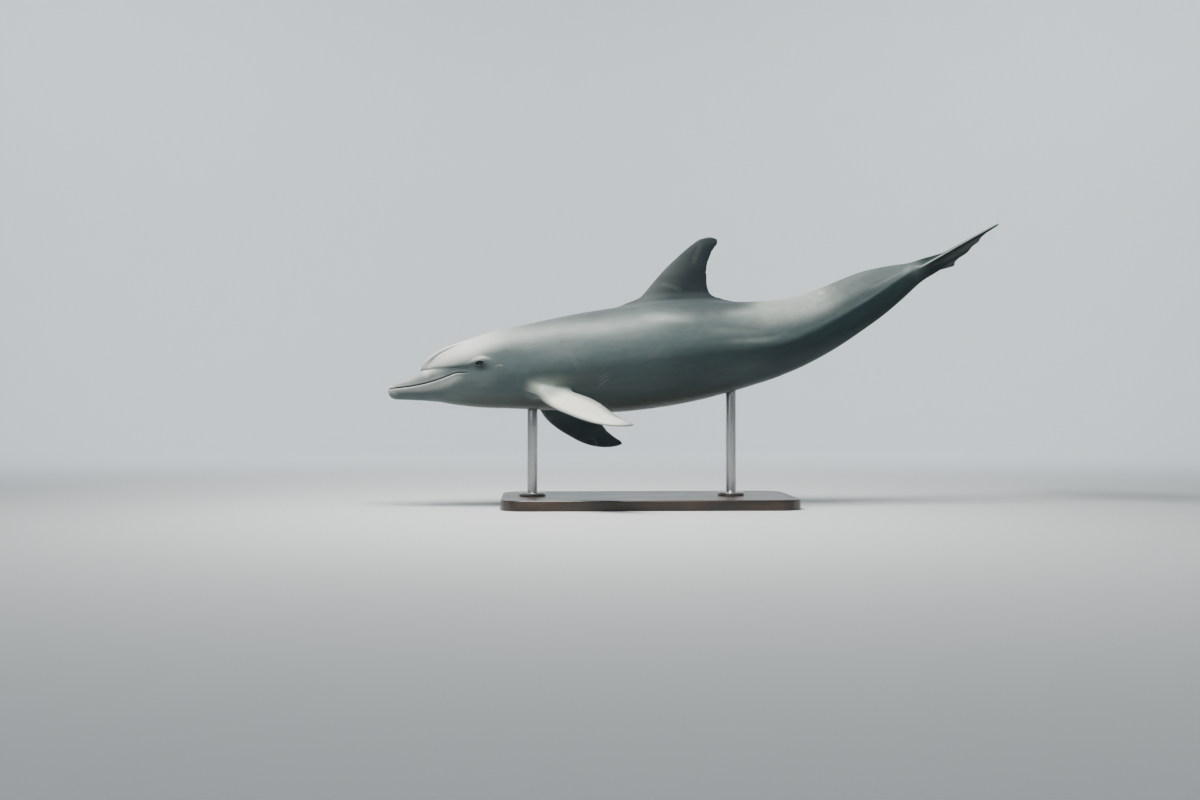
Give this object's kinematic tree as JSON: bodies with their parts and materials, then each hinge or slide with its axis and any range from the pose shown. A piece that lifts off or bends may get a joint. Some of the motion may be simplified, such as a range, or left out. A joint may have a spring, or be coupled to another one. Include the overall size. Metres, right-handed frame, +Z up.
{
  "type": "bottlenose dolphin",
  "caption": "Still life-size model of a swimming bottlenose dolphin, tail raised, held over a flat base by upright rods.",
  "frame": {"origin": "centre of the underside of the flat base, on the floor", "axes": "+X from the snout towards the tail, +Y from the animal's left side to its right, +Z up"},
  "size_m": [2.3362, 0.7534, 1.0866],
  "materials": {
    "skin": "smooth satin skin, dark grey back paling to a light grey belly",
    "eye": "wet, glossy dark brown eye",
    "stand_base": "dark stained board, satin lacquer",
    "stand_rod": "brushed stainless steel"
  },
  "bodies": {
    "root": {"upper_beak": "skin", "lower_jaw": "skin", "melon": "skin", "head": "skin", "trunk": "skin", "tail_stock": "skin", "fluke_left": "skin", "fluke_right": "skin", "dorsal_fin": "skin", "flipper_left": "skin", "flipper_right": "skin", "eye_left": "eye", "eye_right": "eye", "stand_base": "stand_base", "stand_rod_front": "stand_rod", "stand_rod_rear": "stand_rod"}
  },
  "joints": []
}
